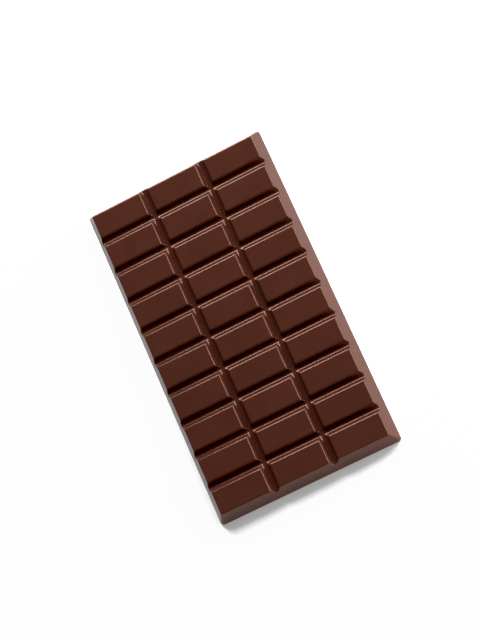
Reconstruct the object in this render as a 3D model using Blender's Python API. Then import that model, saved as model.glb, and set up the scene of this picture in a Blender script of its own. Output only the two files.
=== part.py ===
"""A bar of dark chocolate, cast in one piece in a mould of three by ten blocks.

The bar lies on its flat back on the plane z = 0, with the moulded face up.
Its width is along X and its length along Y, and the origin is the centre of
the back. The walls and the break lines all lean, as a cast piece needs to
leave its mould.
"""

import math

import bmesh
import bpy
from mathutils import Vector

MM = 0.001

# The block grid
COLUMNS = 3
ROWS = 10
COLUMN_PITCH = 25.3 * MM
ROW_PITCH = 13.55 * MM

# The slab that the grid is pressed into
BAR_HEIGHT = 7.7 * MM
WALL_LEAN = 3.25 * MM            # run of an outer wall, before its foot is rounded
TOP_EDGE_RADIUS = 0.45 * MM
BACK_EDGE_RADIUS = 0.45 * MM
TOP_CORNER_RADIUS = 0.45 * MM    # in plan, at the moulded face
BACK_CORNER_RADIUS = 1.6 * MM    # in plan, at the back

# The break lines between blocks
GROOVE_WIDTH = 3.95 * MM         # where the planes of the walls meet the moulded face
GROOVE_DEPTH = 2.2 * MM
GROOVE_WALL_ANGLE = math.radians(66.0)   # from the horizontal
SHOULDER_RADIUS = 0.75 * MM
FLOOR_FILLET_RADIUS = 1.5 * MM   # the two fillets leave almost no flat between them

# Facets
ARC_SEGMENTS = 4
CORNER_SEGMENTS = 6
CUTTER_OVERHANG = 4.0 * MM       # how far a cutter runs past the slab
SHOULDER_LIFT = 0.01 * MM        # keeps a shoulder's last facet from lying in the moulded face

# Sizes that follow
TOP_HALF_X = (COLUMNS * COLUMN_PITCH - GROOVE_WIDTH) / 2
TOP_HALF_Y = (ROWS * ROW_PITCH - GROOVE_WIDTH) / 2
BACK_HALF_X = TOP_HALF_X + WALL_LEAN
BACK_HALF_Y = TOP_HALF_Y + WALL_LEAN
WALL_ANGLE = math.atan2(BAR_HEIGHT, WALL_LEAN)


def make_material(name, rgb, roughness):
    """A Principled material with one colour."""
    material = bpy.data.materials.new(name)
    material.use_nodes = True
    shader = material.node_tree.nodes["Principled BSDF"]
    shader.inputs["Base Color"].default_value = (*rgb, 1.0)
    shader.inputs["Roughness"].default_value = roughness
    shader.inputs["Metallic"].default_value = 0.0
    return material


def arc(centre, radius, start, end, segments):
    """Points on an arc in a 2-D plane, both ends included."""
    points = []
    for step in range(segments + 1):
        angle = start + (end - start) * step / segments
        points.append((centre[0] + radius * math.cos(angle), centre[1] + radius * math.sin(angle)))
    return points


def wall_profile():
    """(inset, height) up an outer wall, from the back to the moulded face.

    The inset is measured from the outline in which the wall's plane meets the
    back. An arc rounds each end of the wall and is tangent to both its planes.
    """
    quarter = math.pi / 2
    back_setback = BACK_EDGE_RADIUS / math.tan(WALL_ANGLE / 2)
    back = arc((back_setback, BACK_EDGE_RADIUS), BACK_EDGE_RADIUS,
               3 * quarter, WALL_ANGLE + quarter, ARC_SEGMENTS)
    top_setback = TOP_EDGE_RADIUS * math.tan(WALL_ANGLE / 2)
    top = arc((WALL_LEAN + top_setback, BAR_HEIGHT - TOP_EDGE_RADIUS), TOP_EDGE_RADIUS,
              WALL_ANGLE + quarter, quarter, ARC_SEGMENTS)
    return back + top


def outline(half_x, half_y, radius):
    """A rectangle's points with rounded corners, anticlockwise."""
    points = []
    for corner in range(4):
        start = corner * math.pi / 2
        side_x = 1 if corner in (0, 3) else -1
        side_y = 1 if corner in (0, 1) else -1
        centre = (side_x * (half_x - radius), side_y * (half_y - radius))
        points += arc(centre, radius, start, start + math.pi / 2, CORNER_SEGMENTS)
    return points


def corner_radius(height):
    """The plan radius of the slab's corners: it opens out towards the back."""
    share = 1.0 - height / BAR_HEIGHT
    return TOP_CORNER_RADIUS + (BACK_CORNER_RADIUS - TOP_CORNER_RADIUS) * share ** 2


def make_slab(name):
    """The bar before its break lines: stacked outlines, joined ring to ring."""
    mesh = bmesh.new()
    rings = []
    for inset, height in wall_profile():
        plan = outline(BACK_HALF_X - inset, BACK_HALF_Y - inset, corner_radius(height))
        rings.append([mesh.verts.new((x, y, height)) for x, y in plan])
    for lower, upper in zip(rings, rings[1:]):
        for index in range(len(lower)):
            following = (index + 1) % len(lower)
            mesh.faces.new((lower[index], lower[following], upper[following], upper[index]))
    mesh.faces.new(list(reversed(rings[0])))
    mesh.faces.new(rings[-1])
    return mesh_object(name, mesh)


def groove_profile():
    """(across, height) round the section of a groove cutter, anticlockwise."""
    half_width = GROOVE_WIDTH / 2
    half_floor = half_width - GROOVE_DEPTH / math.tan(GROOVE_WALL_ANGLE)
    floor_height = BAR_HEIGHT - GROOVE_DEPTH
    quarter = math.pi / 2

    shoulder_setback = SHOULDER_RADIUS * math.tan(GROOVE_WALL_ANGLE / 2)
    shoulder_centre = (half_width + shoulder_setback, BAR_HEIGHT - SHOULDER_RADIUS)
    shoulder = arc(shoulder_centre, SHOULDER_RADIUS,
                   GROOVE_WALL_ANGLE + quarter, quarter, ARC_SEGMENTS)
    shoulder[-1] = (shoulder[-1][0], shoulder[-1][1] + SHOULDER_LIFT)

    fillet_setback = FLOOR_FILLET_RADIUS * math.tan(GROOVE_WALL_ANGLE / 2)
    fillet_centre = (half_floor - fillet_setback, floor_height + FLOOR_FILLET_RADIUS)
    fillet = arc(fillet_centre, FLOOR_FILLET_RADIUS,
                 -quarter, GROOVE_WALL_ANGLE - quarter, ARC_SEGMENTS)

    right = fillet + shoulder + [(shoulder[-1][0], BAR_HEIGHT + CUTTER_OVERHANG)]
    left = [(-across, height) for across, height in reversed(right)]
    return right + left


def make_groove_cutter(name, half_length):
    """A bar of the groove's section, made along Y about the origin."""
    mesh = bmesh.new()
    near = [mesh.verts.new((x, -half_length, z)) for x, z in groove_profile()]
    face = mesh.faces.new(near)
    grown = bmesh.ops.extrude_face_region(mesh, geom=[face])["geom"]
    far = [item for item in grown if isinstance(item, bmesh.types.BMVert)]
    bmesh.ops.translate(mesh, vec=Vector((0.0, 2 * half_length, 0.0)), verts=far)
    bmesh.ops.recalc_face_normals(mesh, faces=mesh.faces)
    cutter = mesh_object(name, mesh)
    cutter.hide_render = True
    cutter.display_type = "WIRE"
    return cutter


def mesh_object(name, mesh):
    """Close a bmesh into a new object in the scene."""
    data = bpy.data.meshes.new(name)
    mesh.to_mesh(data)
    mesh.free()
    thing = bpy.data.objects.new(name, data)
    bpy.context.scene.collection.objects.link(thing)
    return thing


def line_places(count, pitch):
    """Centres of the break lines between count blocks, about zero."""
    return [(index - count / 2) * pitch for index in range(1, count)]


def make_cutters():
    """One cutter for each break line, along the bar and then across it."""
    cutters = []
    for number, place in enumerate(line_places(COLUMNS, COLUMN_PITCH)):
        cutter = make_groove_cutter(f"long_groove_cutter_{number}", BACK_HALF_Y + CUTTER_OVERHANG)
        cutter.location.x = place
        cutters.append(cutter)
    for number, place in enumerate(line_places(ROWS, ROW_PITCH)):
        cutter = make_groove_cutter(f"cross_groove_cutter_{number}", BACK_HALF_X + CUTTER_OVERHANG)
        cutter.rotation_euler.z = math.pi / 2
        cutter.location.y = place
        cutters.append(cutter)
    return cutters


def cut(body, cutters):
    """Take each cutter out of the body with a Boolean that stays on it."""
    for cutter in cutters:
        modifier = body.modifiers.new(cutter.name, "BOOLEAN")
        modifier.operation = "DIFFERENCE"
        modifier.solver = "EXACT"
        modifier.object = cutter


def main():
    for thing in list(bpy.context.scene.objects):
        bpy.data.objects.remove(thing)

    bar = make_slab("chocolate_bar")
    bar.data.materials.append(make_material("dark_chocolate", (0.068, 0.022, 0.014), 0.3))
    cut(bar, make_cutters())


main()
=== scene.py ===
"""A bar of tempered dark chocolate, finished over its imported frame.

The bar is one cast piece, so there is one piece to make. A Geometry Nodes tree
shapes it: a grid of lines is gathered where the surface turns, laid out to the
bar's outline, and lowered by one rule for the break lines and the outer walls.
"""

import math

import bmesh
import bpy
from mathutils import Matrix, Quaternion, Vector


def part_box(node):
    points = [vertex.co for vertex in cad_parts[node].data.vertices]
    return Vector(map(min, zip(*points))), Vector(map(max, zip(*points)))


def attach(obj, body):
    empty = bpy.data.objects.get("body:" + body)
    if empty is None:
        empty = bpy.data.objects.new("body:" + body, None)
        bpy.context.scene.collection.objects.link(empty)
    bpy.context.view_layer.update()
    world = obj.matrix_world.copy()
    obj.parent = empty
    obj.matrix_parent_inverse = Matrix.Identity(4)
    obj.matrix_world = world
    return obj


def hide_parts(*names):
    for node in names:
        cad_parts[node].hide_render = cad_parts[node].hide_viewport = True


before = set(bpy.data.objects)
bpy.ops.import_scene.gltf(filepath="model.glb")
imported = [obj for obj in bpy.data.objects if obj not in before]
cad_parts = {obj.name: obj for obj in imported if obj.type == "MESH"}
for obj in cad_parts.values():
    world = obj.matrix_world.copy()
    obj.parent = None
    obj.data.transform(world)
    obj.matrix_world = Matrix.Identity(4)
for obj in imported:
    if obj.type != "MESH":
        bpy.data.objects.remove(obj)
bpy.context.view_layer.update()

bl_info = {
    "name": "Chocolate Bar",
    "version": (1, 0, 0),
    "blender": (4, 5, 0),
    "location": "3D View > Sidebar > Chocolate",
    "description": "Casts a bar of dark chocolate and sets it on a studio table",
    "category": "Object",
}

MM = 0.001
CAD_LOW, CAD_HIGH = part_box("chocolate_bar")

FINE_SHARE = 0.75        # of a wall's rings, the share that lies close together at its top
BACK_PALER = 0.15        # share by which the back is paler than the moulded faces
BACK_DULLER = 0.24       # roughness that the back has over the moulded faces

# The stage
TABLE_RADIUS = 3.0       # metres
TABLE_GAP = 0.02 * MM    # keeps the table's surface clear of the bar's back
AIM = Vector((1.88 * MM, 0.21 * MM, CAD_HIGH.z))
CAMERA_AZIMUTH = 33.42   # degrees, as in around()
CAMERA_ELEVATION = 73.28
CAMERA_DISTANCE = 715.0 * MM
CAMERA_ROLL = -58.71     # degrees about the line of sight
BLACK_LEVEL = 0.005      # light this weak shows as black
PALE_GREY = 0.42         # above this the view lifts greys ...
NEAR_WHITE = 0.60        # ... so that this one
NEAR_WHITE_SHOWN = 0.97  # ... shows as this

# Azimuth and elevation in degrees, then distance, width and height in metres
SOFTBOXES = {
    "right": (107, 20, 1.0, 0.70, 0.40),
    "rear": (184, 33, 1.0, 0.36, 0.90),
    "corner": (145, 34, 1.0, 0.52, 0.60),
    "front": (50, 5, 0.45, 0.30, 0.07),
}


def linear(hex_colour):
    """An sRGB hex colour as three linear numbers."""
    channels = [int(hex_colour[place:place + 2], 16) / 255 for place in (1, 3, 5)]
    return tuple(c / 12.92 if c <= 0.04045 else ((c + 0.055) / 1.055) ** 2.4 for c in channels)


def add_node(tree, kind, feeds=(), **settings):
    """Add a node, give it its settings, and feed its inputs with values, sockets or nodes."""
    node = tree.nodes.new(kind)
    for name, value in settings.items():
        setattr(node, name, value)
    pairs = feeds.items() if isinstance(feeds, dict) else enumerate(feeds)
    for key, source in pairs:
        if isinstance(source, bpy.types.Node):
            source = next(socket for socket in source.outputs if socket.enabled)
        if isinstance(source, bpy.types.NodeSocket):
            tree.links.new(source, node.inputs[key])
        else:
            node.inputs[key].default_value = source
    return node


class BarSizes(bpy.types.PropertyGroup):
    """Sizes of the cast bar."""

    columns: bpy.props.IntProperty(
        name="Columns", description="Blocks across the bar", default=3, min=1)
    rows: bpy.props.IntProperty(
        name="Rows", description="Blocks along the bar", default=10, min=1)
    groove_width: bpy.props.FloatProperty(
        name="Groove width", description="Width of a break line at the moulded face",
        default=3.95 * MM, min=0.0, subtype="DISTANCE", unit="LENGTH")
    groove_depth: bpy.props.FloatProperty(
        name="Groove depth", description="Depth of a break line below the moulded face",
        default=2.2 * MM, min=0.0, subtype="DISTANCE", unit="LENGTH")
    groove_angle: bpy.props.FloatProperty(
        name="Groove wall angle", description="Slope of a break line's walls from the horizontal",
        default=math.radians(66.0), subtype="ANGLE", unit="ROTATION")
    wall_lean: bpy.props.FloatProperty(
        name="Wall lean", description="How far an outer wall's foot stands out past its top",
        default=3.25 * MM, min=0.0, subtype="DISTANCE", unit="LENGTH")
    back_radius: bpy.props.FloatProperty(
        name="Back edge radius", description="Rounding of the edge between a wall and the back",
        default=0.45 * MM, min=0.0, subtype="DISTANCE", unit="LENGTH")
    back_relief: bpy.props.FloatProperty(
        name="Back relief", description="Height of the slow waves left in the scraped back",
        default=0.12 * MM, min=0.0, subtype="DISTANCE", unit="LENGTH")


class BarLooks(bpy.types.PropertyGroup):
    """Colour and gloss of the chocolate."""

    brown: bpy.props.FloatVectorProperty(
        name="Chocolate", description="Body colour of the chocolate", subtype="COLOR",
        size=3, min=0.0, max=1.0, default=linear("#502D24"))
    gloss: bpy.props.FloatVectorProperty(
        name="Gloss tint", description="Tint of the light the surface mirrors", subtype="COLOR",
        size=3, min=0.0, max=1.0, default=linear("#FFC8B0"))
    roughness: bpy.props.FloatProperty(
        name="Roughness", description="Roughness of the moulded faces",
        default=0.13, min=0.0, max=1.0, subtype="FACTOR")


class StageSettings(bpy.types.PropertyGroup):
    """Table, lights and camera."""

    table: bpy.props.FloatVectorProperty(
        name="Table", description="Colour of the table top", subtype="COLOR",
        size=3, min=0.0, max=1.0, default=linear("#D8D8D8"))
    right_watts: bpy.props.FloatProperty(
        name="Right light", description="Power of the low soft light on the bar's right",
        default=9.4, min=0.0, unit="POWER")
    rear_watts: bpy.props.FloatProperty(
        name="Rear light", description="Power of the soft light behind the bar's upper end",
        default=10.0, min=0.0, unit="POWER")
    corner_watts: bpy.props.FloatProperty(
        name="Corner light", description="Power of the soft light between the right and the rear ones",
        default=4.4, min=0.0, unit="POWER")
    front_watts: bpy.props.FloatProperty(
        name="Front light", description="Power of the low soft light in front of the bar's right side",
        default=1.4, min=0.0, unit="POWER")
    room: bpy.props.FloatProperty(
        name="Room light", description="Brightness of the light from all round",
        default=0.02, min=0.0)
    table_glow: bpy.props.FloatProperty(
        name="Table glow", description="Brightness of the light that comes up through the table",
        default=0.34, min=0.0)
    lens: bpy.props.FloatProperty(
        name="Lens", description="Focal length of the camera in millimetres",
        default=102.9, min=1.0, unit="CAMERA")


# The shape of the bar, as Geometry Nodes

def axis_nodes(tree, size, mark, count, pitch):
    """Turn a grid line's number along one axis into its place in the bar.

    The lines run in equal cells from one break line's middle to the next. In a
    cell most of the lines lie close together over the break line, and few on
    the block. The slab's edge is laid out as the near half of one more break
    line. Returns the mark itself, the steps past the edge, the place inside it,
    the distance into a break line's side, the places where the last whole
    break line and the edge lie, and the count of steps along the axis.
    """
    zone_steps = size["Groove Steps"]
    zone = add_node(tree, "ShaderNodeMath", (size["Groove Width"], 0.5, size["Edge Margin"]),
                    operation="MULTIPLY_ADD")
    half_cell = add_node(tree, "ShaderNodeMath", (zone_steps, size["Block Steps"]), operation="ADD")
    cell = add_node(tree, "ShaderNodeMath", (half_cell, 2.0), operation="MULTIPLY")
    half_count = add_node(tree, "ShaderNodeMath", (count, 0.5), operation="MULTIPLY")
    all_steps = add_node(tree, "ShaderNodeMath", (half_count, cell), operation="MULTIPLY")
    edge_steps = add_node(tree, "ShaderNodeMath", (all_steps, zone_steps), operation="SUBTRACT")

    distance = add_node(tree, "ShaderNodeMath", (mark,), operation="ABSOLUTE")
    past = add_node(tree, "ShaderNodeMath", (distance, edge_steps), operation="SUBTRACT")
    outside = add_node(tree, "ShaderNodeMath", (past, 0.0), operation="MAXIMUM")
    inside = add_node(tree, "ShaderNodeMath", (distance, edge_steps), operation="MINIMUM")

    cells = add_node(tree, "ShaderNodeMath", (inside, cell), operation="DIVIDE")
    ordinal = add_node(tree, "ShaderNodeMath", (cells, half_count), operation="ADD")
    nearest = add_node(tree, "ShaderNodeMath", (ordinal,), operation="ROUND")
    share = add_node(tree, "ShaderNodeMath", (ordinal, nearest), operation="SUBTRACT")
    side = add_node(tree, "ShaderNodeMath", (share,), operation="SIGN")
    size_of_share = add_node(tree, "ShaderNodeMath", (share,), operation="ABSOLUTE")
    steps = add_node(tree, "ShaderNodeMath", (size_of_share, cell), operation="MULTIPLY")

    floor = size["Floor Step"]
    wall_reach = add_node(tree, "ShaderNodeMath", (zone, floor), operation="SUBTRACT")
    half_pitch = add_node(tree, "ShaderNodeMath", (pitch, 0.5), operation="MULTIPLY")
    block_reach = add_node(tree, "ShaderNodeMath", (half_pitch, zone), operation="SUBTRACT")
    over_floor = add_node(tree, "ShaderNodeMapRange", (steps, 0.0, 1.0, 0.0, floor))
    over_wall = add_node(tree, "ShaderNodeMapRange", (steps, 1.0, zone_steps, 0.0, wall_reach))
    over_block = add_node(tree, "ShaderNodeMapRange", (steps, zone_steps, half_cell, 0.0, block_reach))
    across = add_node(tree, "ShaderNodeMath", (over_floor, over_wall), operation="ADD")
    across = add_node(tree, "ShaderNodeMath", (across, over_block), operation="ADD")

    line = add_node(tree, "ShaderNodeMath", (nearest, half_count), operation="SUBTRACT")
    line_place = add_node(tree, "ShaderNodeMath", (line, pitch), operation="MULTIPLY")
    place = add_node(tree, "ShaderNodeMath", (across, side, line_place), operation="MULTIPLY_ADD")
    half_groove = add_node(tree, "ShaderNodeMath", (size["Groove Width"], 0.5), operation="MULTIPLY")
    into_groove = add_node(tree, "ShaderNodeMath", (half_groove, across), operation="SUBTRACT")

    last_line = add_node(tree, "ShaderNodeMath", (half_count, 1.0), operation="SUBTRACT")
    last_zone = add_node(tree, "ShaderNodeMath", (last_line, pitch, zone), operation="MULTIPLY_ADD")
    full = add_node(tree, "ShaderNodeMath", (half_count, pitch), operation="MULTIPLY")
    edge = add_node(tree, "ShaderNodeMath", (full, zone), operation="SUBTRACT")
    total = add_node(tree, "ShaderNodeMath", (edge_steps, size["outer_steps"]), operation="ADD")
    total = add_node(tree, "ShaderNodeMath", (total, 2.0), operation="MULTIPLY")
    return {"mark": mark, "outside": outside, "place": place, "into": into_groove,
            "last": last_zone, "edge": edge, "total": total}


def outline_nodes(tree, size, x_axis, y_axis, ring, out):
    """Lay the grid out to the bar's outline: the plan position of each point.

    A point on ring number ring lies out beyond the inner rectangle. The rings
    turn the corners on arcs, which open out towards the back.
    """
    lean_share = add_node(tree, "ShaderNodeMath", (out, size["Edge Margin"]), operation="SUBTRACT")
    lean_share = add_node(tree, "ShaderNodeMath", (lean_share, size["Wall Lean"]),
                          operation="DIVIDE", use_clamp=True)
    lean_share = add_node(tree, "ShaderNodeMath", (lean_share, 2.0), operation="POWER")
    opening = add_node(tree, "ShaderNodeMath", (size["Back Corner"], size["Top Corner"]),
                       operation="SUBTRACT")
    start = add_node(tree, "ShaderNodeMath", (out, size["Top Corner"]), operation="MINIMUM")
    radius = add_node(tree, "ShaderNodeMath", (lean_share, opening, start), operation="MULTIPLY_ADD")
    centre = add_node(tree, "ShaderNodeMath", (out, radius), operation="SUBTRACT")

    turn = add_node(tree, "ShaderNodeMath", (y_axis["outside"], x_axis["outside"]),
                    operation="SUBTRACT")
    turn = add_node(tree, "ShaderNodeMath", (turn, ring), operation="DIVIDE")
    angle = add_node(tree, "ShaderNodeMath", (turn, math.pi / 4, math.pi / 4),
                     operation="MULTIPLY_ADD")

    ends = []
    for axis, trig in ((x_axis, "COSINE"), (y_axis, "SINE")):
        stretch = add_node(tree, "ShaderNodeMapRange",
                           (axis["place"], axis["last"], axis["edge"], 0.0, centre))
        spot = add_node(tree, "ShaderNodeMath", (axis["place"], stretch), operation="ADD")
        reach = add_node(tree, "ShaderNodeMath", (angle,), operation=trig)
        spot = add_node(tree, "ShaderNodeMath", (reach, radius, spot), operation="MULTIPLY_ADD")
        sign = add_node(tree, "ShaderNodeMath", (axis["mark"],), operation="SIGN")
        ends.append(add_node(tree, "ShaderNodeMath", (spot, sign), operation="MULTIPLY"))
    return ends


def edge_nodes(tree, past, angle, radius):
    """How far a rounded edge has dropped at a distance past its sharp corner.

    It is zero on the flat, follows an arc, and ends on the plane of the slope.
    """
    half = add_node(tree, "ShaderNodeMath", (angle, 0.5), operation="MULTIPLY")
    half = add_node(tree, "ShaderNodeMath", (half,), operation="TANGENT")
    run = add_node(tree, "ShaderNodeMath", (half, radius, past), operation="MULTIPLY_ADD")
    sine = add_node(tree, "ShaderNodeMath", (angle,), operation="SINE")
    arc_run = add_node(tree, "ShaderNodeMath", (sine, radius), operation="MULTIPLY")
    on_arc = add_node(tree, "ShaderNodeMath", (run, 0.0), operation="MAXIMUM")
    on_arc = add_node(tree, "ShaderNodeMath", (on_arc, arc_run), operation="MINIMUM")
    share = add_node(tree, "ShaderNodeMath", (on_arc, radius), operation="DIVIDE")
    turn = add_node(tree, "ShaderNodeMath", (share,), operation="ARCSINE")
    level = add_node(tree, "ShaderNodeMath", (turn,), operation="COSINE")
    arc_drop = add_node(tree, "ShaderNodeMath", (1.0, level), operation="SUBTRACT")
    beyond = add_node(tree, "ShaderNodeMath", (run, arc_run), operation="SUBTRACT")
    beyond = add_node(tree, "ShaderNodeMath", (beyond, 0.0), operation="MAXIMUM")
    slope = add_node(tree, "ShaderNodeMath", (angle,), operation="TANGENT")
    straight = add_node(tree, "ShaderNodeMath", (beyond, slope), operation="MULTIPLY")
    return add_node(tree, "ShaderNodeMath", (arc_drop, radius, straight), operation="MULTIPLY_ADD")


def bar_tree(sizes):
    """The Geometry Nodes tree of the bar, with its sizes as named inputs."""
    tree = bpy.data.node_groups.new("Cast Chocolate Bar", "GeometryNodeTree")
    for name, (kind, value) in sizes.items():
        socket = tree.interface.new_socket(name, in_out="INPUT", socket_type=kind)
        if value is not None:
            socket.default_value = value
    tree.interface.new_socket("Geometry", in_out="OUTPUT", socket_type="NodeSocketGeometry")
    group = add_node(tree, "NodeGroupInput")
    size = {name: group.outputs[name] for name in sizes}
    size["outer_steps"] = add_node(tree, "ShaderNodeMath", (size["Wall Steps"], size["Foot Steps"]),
                                   operation="ADD")

    # Lines of the grid, one unit apart about the middle
    position = add_node(tree, "GeometryNodeInputPosition")
    marks = add_node(tree, "ShaderNodeSeparateXYZ", (position,))
    x_axis = axis_nodes(tree, size, marks.outputs["X"], size["Columns"], size["Column Pitch"])
    y_axis = axis_nodes(tree, size, marks.outputs["Y"], size["Rows"], size["Row Pitch"])
    lines_x = add_node(tree, "ShaderNodeMath", (x_axis["total"], 1.0), operation="ADD")
    lines_y = add_node(tree, "ShaderNodeMath", (y_axis["total"], 1.0), operation="ADD")
    grid = add_node(tree, "GeometryNodeMeshGrid",
                    (x_axis["total"], y_axis["total"], lines_x, lines_y))
    ring = add_node(tree, "ShaderNodeMath", (x_axis["outside"], y_axis["outside"]),
                    operation="MAXIMUM")

    # The section of an outer wall: out over the shoulder, down, and round the foot
    slope = add_node(tree, "ShaderNodeMath", (size["Height"], size["Wall Lean"]), operation="DIVIDE")
    wall_angle = add_node(tree, "ShaderNodeMath", (slope,), operation="ARCTANGENT")
    foot_start = add_node(tree, "ShaderNodeMath", (math.pi / 2, wall_angle), operation="SUBTRACT")
    start_sine = add_node(tree, "ShaderNodeMath", (foot_start,), operation="SINE")
    start_cosine = add_node(tree, "ShaderNodeMath", (foot_start,), operation="COSINE")
    foot_rise = add_node(tree, "ShaderNodeMath",
                         (start_sine, size["Back Edge Radius"], size["Back Edge Radius"]),
                         operation="MULTIPLY_ADD")
    straight = add_node(tree, "ShaderNodeMath", (size["Height"], foot_rise), operation="SUBTRACT")
    straight_run = add_node(tree, "ShaderNodeMath", (straight, slope), operation="DIVIDE")
    wall_end = add_node(tree, "ShaderNodeMath", (straight_run, size["Edge Margin"]), operation="ADD")
    fine_steps = add_node(tree, "ShaderNodeMath", (size["Wall Steps"], FINE_SHARE),
                          operation="MULTIPLY")
    coarse_reach = add_node(tree, "ShaderNodeMath", (wall_end, size["Fine Reach"]),
                            operation="SUBTRACT")
    fine_out = add_node(tree, "ShaderNodeMapRange",
                        (ring, 0.0, fine_steps, 0.0, size["Fine Reach"]))
    coarse_out = add_node(tree, "ShaderNodeMapRange",
                          (ring, fine_steps, size["Wall Steps"], 0.0, coarse_reach))
    wall_out = add_node(tree, "ShaderNodeMath", (fine_out, coarse_out), operation="ADD")
    foot_angle = add_node(tree, "ShaderNodeMapRange",
                          (ring, size["Wall Steps"], size["outer_steps"], foot_start, -math.pi / 2))
    foot_cosine = add_node(tree, "ShaderNodeMath", (foot_angle,), operation="COSINE")
    foot_cosine = add_node(tree, "ShaderNodeMath", (foot_cosine, start_cosine), operation="SUBTRACT")
    foot_sine = add_node(tree, "ShaderNodeMath", (foot_angle,), operation="SINE")
    foot_sine = add_node(tree, "ShaderNodeMath", (foot_sine, start_sine), operation="SUBTRACT")
    out = add_node(tree, "ShaderNodeMath", (foot_cosine, size["Back Edge Radius"], wall_out),
                   operation="MULTIPLY_ADD")
    x, y = outline_nodes(tree, size, x_axis, y_axis, ring, out)

    # The rule for the height: break lines, and outer walls past them
    into = add_node(tree, "ShaderNodeMath",
                    (x_axis["into"], y_axis["into"], size["Block Corner Rounding"]),
                    operation="SMOOTH_MAX")
    cut = edge_nodes(tree, into, size["Groove Angle"], size["Shoulder Radius"])
    groove_slope = add_node(tree, "ShaderNodeMath", (size["Groove Angle"],), operation="TANGENT")
    groove_run = add_node(tree, "ShaderNodeMath", (size["Groove Depth"], groove_slope),
                          operation="DIVIDE")
    from_floor = add_node(tree, "ShaderNodeMath", (groove_run, into), operation="SUBTRACT")
    rise = edge_nodes(tree, from_floor, size["Groove Angle"], size["Floor Radius"])
    # The wall's plane lies between its two rounded ends: above the middle the shoulder
    # gives the height, below it the floor does, and the plane is counted once
    plane = add_node(tree, "ShaderNodeMath", (into, groove_slope), operation="MULTIPLY")
    fill = add_node(tree, "ShaderNodeMath", (size["Groove Depth"], rise), operation="SUBTRACT")
    cut = add_node(tree, "ShaderNodeMath", (cut, fill), operation="ADD")
    cut = add_node(tree, "ShaderNodeMath", (cut, plane), operation="SUBTRACT")
    past_top = add_node(tree, "ShaderNodeMath", (wall_out, size["Edge Margin"]),
                        operation="SUBTRACT")
    wall_drop = edge_nodes(tree, past_top, wall_angle, size["Rim Radius"])
    drop = add_node(tree, "ShaderNodeMath", (cut, wall_drop, size["Run Out Rounding"]),
                    operation="SMOOTH_MAX")
    z = add_node(tree, "ShaderNodeMath", (size["Height"], drop), operation="SUBTRACT")
    z = add_node(tree, "ShaderNodeMath", (foot_sine, size["Back Edge Radius"], z),
                 operation="MULTIPLY_ADD")
    place = add_node(tree, "ShaderNodeCombineXYZ", (x, y, z))
    face = add_node(tree, "GeometryNodeSetPosition", {"Geometry": grid, "Position": place})

    # The back: the same lines on the plane of the back, with slow waves inside its edge
    back_end = add_node(tree, "ShaderNodeMath", (start_cosine, -1.0), operation="MULTIPLY")
    back_end = add_node(tree, "ShaderNodeMath", (back_end, size["Back Edge Radius"], wall_end),
                        operation="MULTIPLY_ADD")
    back_out = add_node(tree, "ShaderNodeMapRange",
                        (ring, 0.0, size["outer_steps"], 0.0, back_end))
    x, y = outline_nodes(tree, size, x_axis, y_axis, ring, back_out)
    spot = add_node(tree, "ShaderNodeCombineXYZ", (x, y, 0.0))
    waves = add_node(tree, "ShaderNodeTexNoise",
                     {"Vector": spot, "W": size["Seed"], "Scale": size["Waves Per Metre"],
                      "Detail": 2.0, "Roughness": 0.4}, noise_dimensions="4D")
    calm = add_node(tree, "ShaderNodeMapRange",
                    (ring, 0.0, size["outer_steps"], size["Back Relief"], 0.0))
    lift = add_node(tree, "ShaderNodeMath", (waves, calm), operation="MULTIPLY")
    spot = add_node(tree, "ShaderNodeCombineXYZ", (x, y, lift))
    back = add_node(tree, "GeometryNodeSetPosition", {"Geometry": grid, "Position": spot})
    back = add_node(tree, "GeometryNodeFlipFaces", {"Mesh": back})

    # One closed mesh
    joined = add_node(tree, "GeometryNodeJoinGeometry", {"Geometry": face})
    tree.links.new(back.outputs["Mesh"], joined.inputs["Geometry"])
    closed = add_node(tree, "GeometryNodeMergeByDistance", {"Geometry": joined, "Distance": 0.01 * MM})
    smooth = add_node(tree, "GeometryNodeSetShadeSmooth", {"Geometry": closed})
    real = add_node(tree, "GeometryNodeRealizeInstances", {"Geometry": smooth})
    finished = add_node(tree, "GeometryNodeSetMaterial",
                        {"Geometry": real, "Material": size["Material"]})
    add_node(tree, "NodeGroupOutput", {"Geometry": finished})
    return tree


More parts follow.
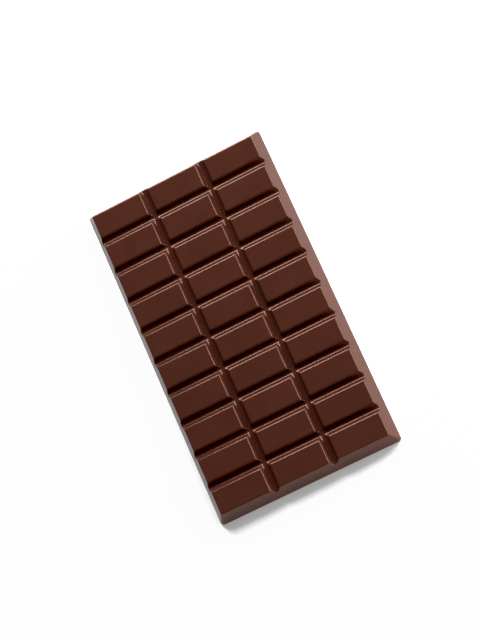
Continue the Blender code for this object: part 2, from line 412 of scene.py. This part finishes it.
def chocolate_material(looks):
    """Tempered dark chocolate, cast in a polished mould.

    Tempered cocoa butter sets against the mould to a hard satin gloss over a
    body colour that hardly changes. The back sets in air, so it is duller and
    a little paler than the moulded faces.
    """
    material = bpy.data.materials.new("tempered_dark_chocolate")
    material.use_nodes = True
    tree = material.node_tree
    tree.nodes.clear()
    coordinates = add_node(tree, "ShaderNodeTexCoord")
    spot = coordinates.outputs["Object"]
    place = add_node(tree, "ShaderNodeSeparateXYZ", (spot,))
    back = add_node(tree, "ShaderNodeMapRange", (place.outputs["Z"], 0.15 * MM, 0.40 * MM, 1.0, 0.0))

    # Cocoa mass is never quite even: pale and dark clouds a centimetre wide
    clouds = add_node(tree, "ShaderNodeTexNoise",
                      {"Vector": spot, "Scale": 90.0, "Detail": 3.0, "Roughness": 0.5})
    shade = add_node(tree, "ShaderNodeMapRange", (clouds, 0.3, 0.7, 0.93, 1.07))
    shade = add_node(tree, "ShaderNodeMath", (back, BACK_PALER, shade), operation="MULTIPLY_ADD")
    body = add_node(tree, "ShaderNodeVectorMath", (looks.brown, shade), operation="MULTIPLY")

    # Breath and handling dull the gloss in patches a few millimetres wide
    haze = add_node(tree, "ShaderNodeTexNoise",
                    {"Vector": spot, "Scale": 300.0, "Detail": 2.0, "Roughness": 0.5})
    gloss = add_node(tree, "ShaderNodeMapRange",
                     (haze, 0.3, 0.7, looks.roughness - 0.02, looks.roughness + 0.03))
    gloss = add_node(tree, "ShaderNodeMath", (back, BACK_DULLER, gloss), operation="MULTIPLY_ADD")

    # Setting chocolate shrinks a little unevenly: ripples that stir the edge of a highlight
    ripples = add_node(tree, "ShaderNodeTexNoise",
                       {"Vector": spot, "Scale": 650.0, "Detail": 1.0, "Roughness": 0.5})
    relief = add_node(tree, "ShaderNodeBump",
                      {"Height": ripples, "Distance": 0.02 * MM, "Strength": 0.5})

    shader = add_node(tree, "ShaderNodeBsdfPrincipled",
                      {"Base Color": body, "Roughness": gloss, "Normal": relief, "IOR": 1.46,
                       "Specular IOR Level": 0.68, "Metallic": 0.0,
                       "Specular Tint": (*looks.gloss, 1.0)})
    add_node(tree, "ShaderNodeOutputMaterial", {"Surface": shader})
    return material


def table_material(colour, glow):
    """Opal acrylic sheet, lit a little from below: a plain pale table top."""
    material = bpy.data.materials.new("opal_acrylic_sheet")
    material.use_nodes = True
    shader = material.node_tree.nodes["Principled BSDF"]
    shader.inputs["Base Color"].default_value = (*colour, 1.0)
    shader.inputs["Roughness"].default_value = 0.6
    shader.inputs["Emission Color"].default_value = (*colour, 1.0)
    shader.inputs["Emission Strength"].default_value = glow
    return material


class CHOCOLATE_OT_cast_bar(bpy.types.Operator):
    """Cast the bar: shape it by rule, finish it and set it over its frame"""

    bl_idname = "chocolate.cast_bar"
    bl_label = "Cast Bar"

    def execute(self, context):
        sizes = context.scene.chocolate_sizes
        groove = sizes.groove_width
        material = chocolate_material(context.scene.chocolate_looks)
        width = CAD_HIGH.x - CAD_LOW.x
        length = CAD_HIGH.y - CAD_LOW.y
        height = CAD_HIGH.z - CAD_LOW.z
        wall_angle = math.atan2(height, sizes.wall_lean)
        foot = sizes.wall_lean - sizes.back_radius * (1 / math.tan(wall_angle / 2) - 1)
        inputs = {
            "Columns": ("NodeSocketInt", sizes.columns),
            "Rows": ("NodeSocketInt", sizes.rows),
            "Column Pitch": ("NodeSocketFloat", (width - 2 * foot + groove) / sizes.columns),
            "Row Pitch": ("NodeSocketFloat", (length - 2 * foot + groove) / sizes.rows),
            "Height": ("NodeSocketFloat", height),
            "Wall Lean": ("NodeSocketFloat", sizes.wall_lean),
            "Back Edge Radius": ("NodeSocketFloat", sizes.back_radius),
            "Groove Width": ("NodeSocketFloat", groove),
            "Groove Depth": ("NodeSocketFloat", sizes.groove_depth),
            "Groove Angle": ("NodeSocketFloat", sizes.groove_angle),
            "Shoulder Radius": ("NodeSocketFloat", 0.75 * MM),
            "Floor Radius": ("NodeSocketFloat", 1.5 * MM),
            "Block Corner Rounding": ("NodeSocketFloat", 0.4 * MM),
            "Rim Radius": ("NodeSocketFloat", 0.45 * MM),
            "Run Out Rounding": ("NodeSocketFloat", 0.25 * MM),
            "Top Corner": ("NodeSocketFloat", 0.45 * MM),
            "Back Corner": ("NodeSocketFloat", 1.6 * MM),
            "Edge Margin": ("NodeSocketFloat", 0.7 * MM),
            "Floor Step": ("NodeSocketFloat", 0.5 * MM),
            "Fine Reach": ("NodeSocketFloat", 2.0 * MM),
            "Groove Steps": ("NodeSocketInt", 14),
            "Block Steps": ("NodeSocketInt", 3),
            "Wall Steps": ("NodeSocketInt", 16),
            "Foot Steps": ("NodeSocketInt", 5),
            "Back Relief": ("NodeSocketFloat", sizes.back_relief),
            "Waves Per Metre": ("NodeSocketFloat", 45.0),
            "Seed": ("NodeSocketFloat", 3.0),
            "Material": ("NodeSocketMaterial", None),
        }
        tree = bar_tree(inputs)
        blank = bpy.data.meshes.new("bar_blank")
        bar = bpy.data.objects.new("moulded_bar", blank)
        context.scene.collection.objects.link(bar)
        modifier = bar.modifiers.new("Cast", "NODES")
        modifier.node_group = tree
        values = {name: value for name, (kind, value) in inputs.items()}
        values["Material"] = material
        for socket in tree.interface.items_tree:
            if socket.in_out == "INPUT":
                modifier[socket.identifier] = values[socket.name]
        evaluated = bar.evaluated_get(context.evaluated_depsgraph_get())
        bar.data = bpy.data.meshes.new_from_object(evaluated)
        bar.data.name = "moulded_bar"
        bar.modifiers.clear()
        bpy.data.meshes.remove(blank)
        if not bar.data.polygons:
            raise RuntimeError("the tree made no mesh")
        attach(bar, "root")
        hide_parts("chocolate_bar")
        return {"FINISHED"}


def add_light(name, place, width, height, watts):
    """A softbox that faces the bar."""
    data = bpy.data.lights.new(name, "AREA")
    data.shape = "RECTANGLE"
    data.size = width
    data.size_y = height
    data.energy = watts
    lamp = bpy.data.objects.new(name, data)
    lamp.location = place
    lamp.rotation_euler = (-place).to_track_quat("-Z", "Y").to_euler()
    bpy.context.scene.collection.objects.link(lamp)


def around(azimuth, elevation, distance, centre=(0.0, 0.0, 0.0)):
    """A point round the bar: azimuth 0 is at its lower end and 90 at its right side."""
    turn = math.radians(azimuth)
    rise = math.radians(elevation)
    way = Vector((math.sin(turn) * math.cos(rise), -math.cos(turn) * math.cos(rise), math.sin(rise)))
    return Vector(centre) + distance * way


class CHOCOLATE_OT_set_stage(bpy.types.Operator):
    """Lay the table, hang the lights and set up the camera"""

    bl_idname = "chocolate.set_stage"
    bl_label = "Set Stage"

    def execute(self, context):
        stage = context.scene.chocolate_stage
        mesh = bmesh.new()
        bmesh.ops.create_circle(mesh, cap_ends=True, segments=96, radius=TABLE_RADIUS)
        data = bpy.data.meshes.new("table_top")
        mesh.to_mesh(data)
        mesh.free()
        table = bpy.data.objects.new("table_top", data)
        table.location.z = -TABLE_GAP
        data.materials.append(table_material(stage.table, stage.table_glow))
        context.scene.collection.objects.link(table)

        for name, (azimuth, elevation, distance, width, height) in SOFTBOXES.items():
            place = around(azimuth, elevation, distance)
            add_light(f"{name}_softbox", place, width, height, getattr(stage, f"{name}_watts"))

        world = bpy.data.worlds.new("studio_room")
        world.use_nodes = True
        background = world.node_tree.nodes["Background"]
        background.inputs["Color"].default_value = (*linear("#FFFFFF"), 1.0)
        background.inputs["Strength"].default_value = stage.room
        context.scene.world = world

        data = bpy.data.cameras.new("camera")
        data.lens = stage.lens
        data.clip_end = 10.0
        camera = bpy.data.objects.new("camera", data)
        camera.location = around(CAMERA_AZIMUTH, CAMERA_ELEVATION, CAMERA_DISTANCE, AIM)
        level = (AIM - camera.location).to_track_quat("-Z", "Y")
        camera.rotation_euler = (level @ Quaternion((0, 0, 1), math.radians(CAMERA_ROLL))).to_euler()
        context.scene.collection.objects.link(camera)
        context.scene.camera = camera

        # The deepest shades go to black and pale ones to white; the rest stay nearly as they are
        view = context.scene.view_settings
        view.view_transform = "Standard"
        view.use_curve_mapping = True
        view.curve_mapping.black_level = [BLACK_LEVEL] * 3
        view.curve_mapping.extend = "HORIZONTAL"
        curve = view.curve_mapping.curves[3]
        curve.points.new(PALE_GREY, PALE_GREY)
        curve.points.new(NEAR_WHITE, NEAR_WHITE_SHOWN)
        for point in curve.points:
            point.handle_type = "VECTOR"
        view.curve_mapping.update()
        return {"FINISHED"}


class CHOCOLATE_PT_panel(bpy.types.Panel):
    """Sizes, looks and steps of the chocolate bar"""

    bl_idname = "CHOCOLATE_PT_panel"
    bl_label = "Chocolate Bar"
    bl_space_type = "VIEW_3D"
    bl_region_type = "UI"
    bl_category = "Chocolate"

    def draw(self, context):
        for group in (context.scene.chocolate_sizes, context.scene.chocolate_looks,
                      context.scene.chocolate_stage):
            box = self.layout.box()
            for name in group.__annotations__:
                box.prop(group, name)
        self.layout.operator("chocolate.cast_bar")
        self.layout.operator("chocolate.set_stage")


CLASSES = (BarSizes, BarLooks, StageSettings, CHOCOLATE_OT_cast_bar, CHOCOLATE_OT_set_stage,
           CHOCOLATE_PT_panel)


def register():
    """Add the settings, the operators and the panel."""
    for cls in CLASSES:
        bpy.utils.register_class(cls)
    bpy.types.Scene.chocolate_sizes = bpy.props.PointerProperty(type=BarSizes)
    bpy.types.Scene.chocolate_looks = bpy.props.PointerProperty(type=BarLooks)
    bpy.types.Scene.chocolate_stage = bpy.props.PointerProperty(type=StageSettings)


def unregister():
    """Take them out again."""
    del bpy.types.Scene.chocolate_stage
    del bpy.types.Scene.chocolate_looks
    del bpy.types.Scene.chocolate_sizes
    for cls in reversed(CLASSES):
        bpy.utils.unregister_class(cls)


def main():
    """Make the bar and its stage."""
    register()
    bpy.ops.chocolate.cast_bar()
    bpy.ops.chocolate.set_stage()


if __name__ == "__main__":
    main()
